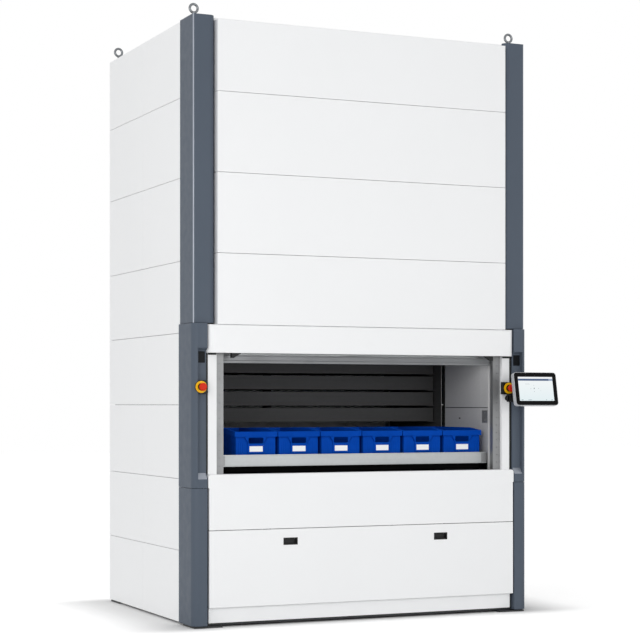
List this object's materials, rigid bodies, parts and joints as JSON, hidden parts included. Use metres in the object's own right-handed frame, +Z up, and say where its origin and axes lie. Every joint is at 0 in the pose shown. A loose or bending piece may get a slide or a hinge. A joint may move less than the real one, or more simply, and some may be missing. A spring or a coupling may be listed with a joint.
{
  "type": "vertical lift module",
  "caption": "Tall storage cabinet with a lifted tray of blue bins at an access opening, a vertical door, a lower flap, a swivelling touch panel and emergency stops.",
  "frame": {"origin": "floor level, at the middle of the four floor anchor holes", "axes": "+X to the right as seen from the operator, +Y from the front to the back, +Z up"},
  "size_m": [2.0278, 1.5651, 3.1544],
  "materials": {
    "anthracite_paint": "satin powder coat",
    "white_paint": "satin powder coat",
    "frame_paint": "matt powder coat",
    "galvanised_sheet": "galvanised sheet",
    "machined_steel": "machined",
    "anodised_aluminium": "anodised",
    "blue_plastic": "moulded",
    "label_card": "blank card",
    "black_plastic": "moulded",
    "yellow_plastic": "moulded",
    "red_plastic": "moulded",
    "dark_window": "smooth",
    "belt_rubber": "toothed belt, back side smooth",
    "silver_plastic": "fine texture"
  },
  "bodies": {
    "chassis": {"base_frame": "frame_paint", "floor_plates": "frame_paint", "base_pan": "frame_paint", "posts": "frame_paint", "mullions": "frame_paint", "top_frame": "frame_paint", "front_rails": "frame_paint", "roof_panel": "white_paint", "upper_covers": "anthracite_paint", "middle_covers": "anthracite_paint", "lower_covers": "anthracite_paint", "left_side_panels": "white_paint", "right_side_panels": "white_paint", "rear_panels": "white_paint", "front_panels": "white_paint", "hood": "white_paint", "sill_panel": "white_paint", "toe_kick": "white_paint", "trims": "white_paint", "light_curtains": "anodised_aluminium", "door_guides": "anodised_aluminium", "liners": "galvanised_sheet", "rack_plates": "galvanised_sheet", "tray_supports": "galvanised_sheet", "stored_trays": "galvanised_sheet", "guide_rails": "machined_steel", "lift_belts": "belt_rubber", "gearmotor": "machined_steel", "shaft_bearings": "machined_steel", "door_motor": "machined_steel", "control_box": "frame_paint", "lifting_eyes": "machined_steel", "sensor_windows": "dark_window", "stop_bases": "black_plastic", "stop_collars": "yellow_plastic", "flap_hinges": "machined_steel", "console_mount": "black_plastic"},
    "lift": {"lift_platform": "galvanised_sheet", "lift_carriages": "machined_steel"},
    "shuttle": {"extractor_bar": "machined_steel", "tray": "galvanised_sheet", "bin_labels": "label_card", "bin_1": "blue_plastic", "bin_2": "blue_plastic", "bin_3": "blue_plastic", "bin_4": "blue_plastic", "bin_5": "blue_plastic", "bin_6": "blue_plastic"},
    "door": {"door_leaf": "galvanised_sheet", "door_bar": "anodised_aluminium"},
    "drive": {"drive_shaft": "machined_steel"},
    "idler": {"idler_shaft": "machined_steel"},
    "door_drive": {"door_shaft": "machined_steel"},
    "flap": {"flap_panel": "white_paint", "finger_pulls": "black_plastic"},
    "arm": {"console_arm": "black_plastic"},
    "panel": {"panel_housing": "silver_plastic", "panel_screen": "dark_window"},
    "left_stop": {"stop_head_left": "red_plastic"},
    "right_stop": {"stop_head_right": "red_plastic"}
  },
  "joints": [
    {"name": "lift_slide", "type": "slide", "parent": "chassis", "child": "lift", "axis": [0, 0, 1], "range_m": [-0.43, 1.9]},
    {"name": "tray_slide", "type": "slide", "parent": "lift", "child": "shuttle", "axis": [0, 1, 0], "range_m": [0, 0.62]},
    {"name": "drive_spin", "type": "hinge", "parent": "chassis", "child": "drive", "pos_m": [0, -0.0725, 0.15], "axis": [1, 0, 0], "range_deg": [-1905, 435]},
    {"name": "idler_spin", "type": "hinge", "parent": "chassis", "child": "idler", "pos_m": [0, -0.0725, 2.97], "axis": [1, 0, 0], "range_deg": [-1905, 435]},
    {"name": "door_slide", "type": "slide", "parent": "chassis", "child": "door", "axis": [0, 0, 1], "range_m": [-0.557, 0]},
    {"name": "door_spin", "type": "hinge", "parent": "chassis", "child": "door_drive", "pos_m": [0, -0.6483, 1.395], "axis": [1, 0, 0], "range_deg": [-1600, 20]},
    {"name": "flap_hinge", "type": "hinge", "parent": "chassis", "child": "flap", "pos_m": [0, -0.7045, 0.109], "axis": [1, 0, 0], "range_deg": [0, 80]},
    {"name": "console_swivel", "type": "hinge", "parent": "chassis", "child": "arm", "pos_m": [0.857, -0.7325, 1.156], "axis": [0, 0, 1], "range_deg": [-40, 25]},
    {"name": "console_tilt", "type": "hinge", "parent": "arm", "child": "panel", "pos_m": [0.93478, -0.81028, 1.197], "axis": [1, 0, 0], "range_deg": [-12, 12]},
    {"name": "left_stop_press", "type": "slide", "parent": "chassis", "child": "left_stop", "axis": [0, 1, 0], "range_m": [0, 0.005], "stiffness_N_per_m": 800},
    {"name": "right_stop_press", "type": "slide", "parent": "chassis", "child": "right_stop", "axis": [0, 1, 0], "range_m": [0, 0.005], "stiffness_N_per_m": 800}
  ],
  "couplings": [
    {"joint": "drive_spin", "follows": "lift_slide", "rad_per_m": -17.452},
    {"joint": "idler_spin", "follows": "lift_slide", "rad_per_m": -17.452},
    {"joint": "door_spin", "follows": "door_slide", "rad_per_m": 49.505}
  ]
}
